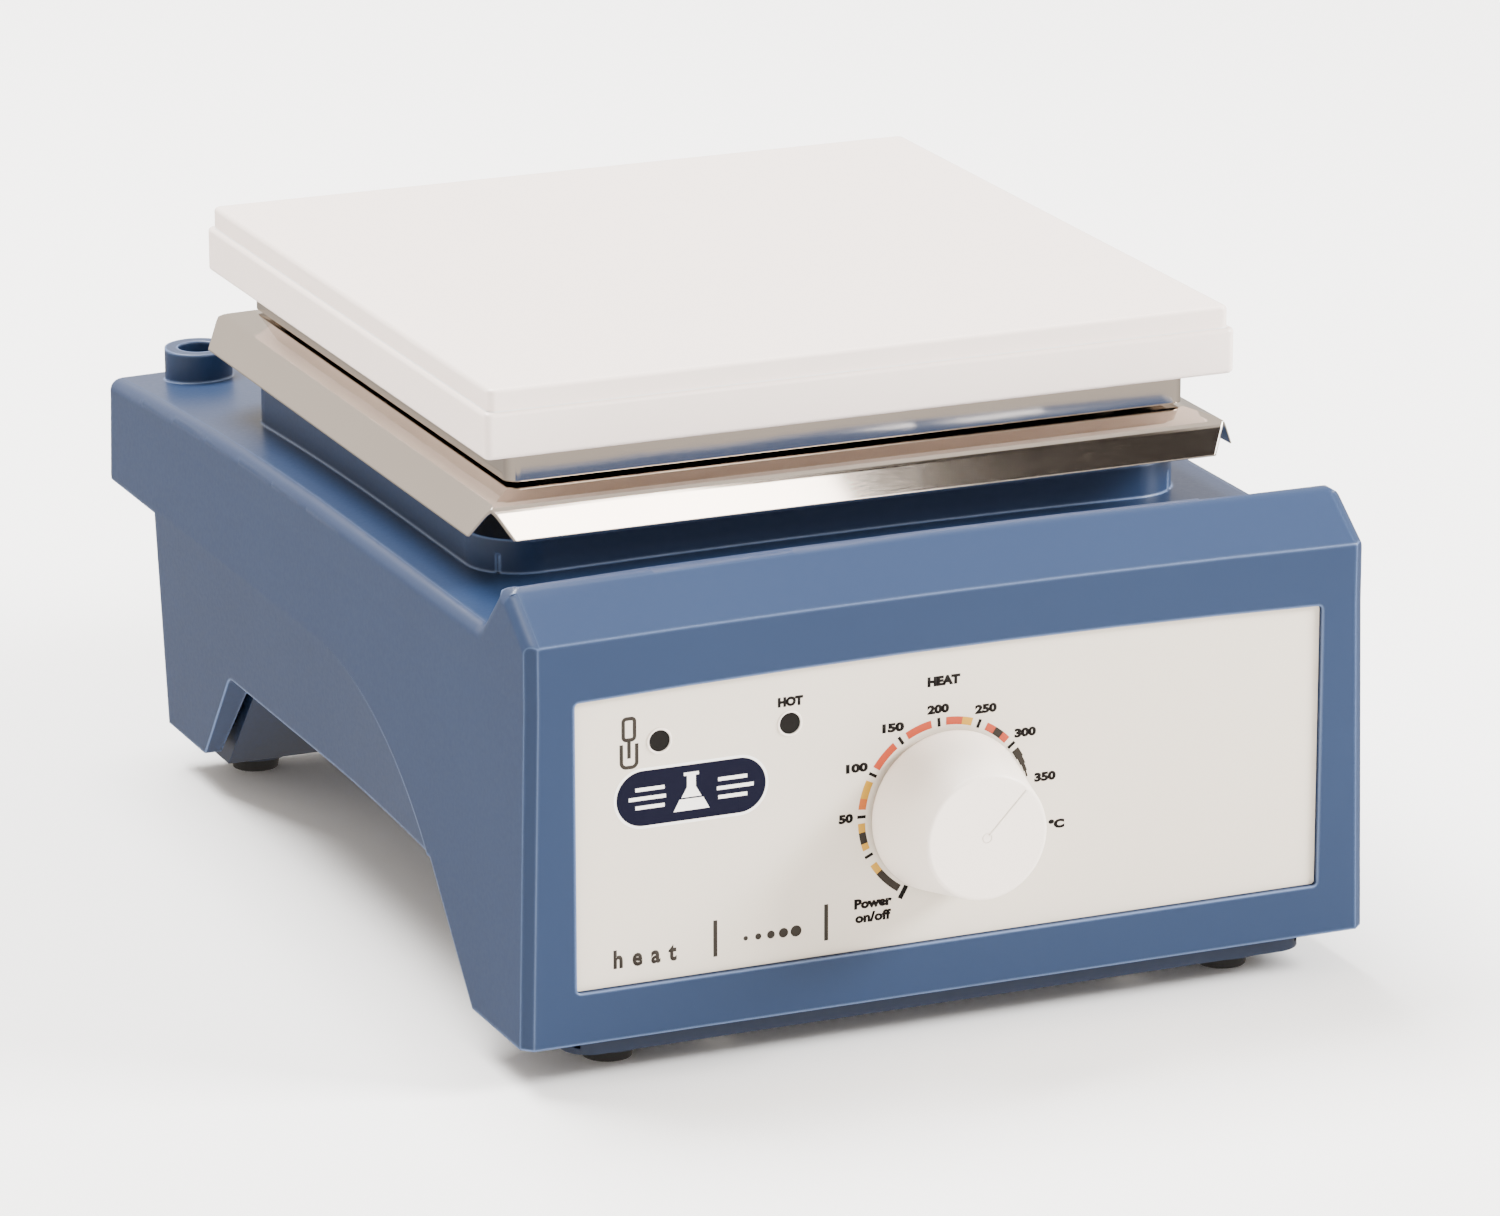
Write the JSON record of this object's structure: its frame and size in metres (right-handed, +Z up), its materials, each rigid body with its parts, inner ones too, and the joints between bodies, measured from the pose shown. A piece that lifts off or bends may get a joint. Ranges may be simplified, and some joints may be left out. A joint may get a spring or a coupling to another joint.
{
  "type": "laboratory hot plate",
  "caption": "Square ceramic-topped laboratory hot plate on a cast housing with a heat control knob, a spill deflector and a retort rod socket.",
  "frame": {"origin": "on the bench under the middle of the whole outline", "axes": "+Z up, the control knob faces -Y, +X to the right seen from the front"},
  "size_m": [0.1706, 0.2482, 0.121],
  "materials": {
    "housing_paint": "satin",
    "pan_paint": "satin",
    "steel": "satin",
    "polished_steel": "polished",
    "rubber": "matte",
    "fascia": "matte",
    "lens": "gloss",
    "board": "matte",
    "moulding": "matte",
    "knob": "satin",
    "plate": "gloss",
    "insulation": "matte",
    "element": "matte",
    "brass": "satin"
  },
  "bodies": {
    "unit": {"housing": "housing_paint", "base_pan": "pan_paint", "pan_screws": "steel", "foot_front_left": "rubber", "foot_front_right": "rubber", "foot_rear_left": "rubber", "foot_rear_right": "rubber", "fascia_panel": "fascia", "power_lamp": "lens", "hot_lamp": "lens", "lamp_board": "board", "energy_regulator": "moulding", "regulator_nut": "steel", "top_plate": "plate", "element_pan": "polished_steel", "insulation_board": "insulation", "heating_element": "element", "spill_deflector": "polished_steel", "plate_studs": "steel", "plate_spacers": "steel", "plate_nuts": "steel", "hot_switch": "element", "terminal_block": "moulding", "earth_stud": "brass", "mains_inlet": "moulding", "inlet_pins": "brass", "inlet_screws": "steel"},
    "knob": {"control_knob": "knob", "regulator_spindle": "steel"}
  },
  "joints": [
    {"name": "knob_turn", "type": "hinge", "parent": "unit", "child": "knob", "pos_m": [-0.0015, -0.1155, 0.0435], "axis": [0, 1, 0], "range_deg": [-194, 35]}
  ]
}
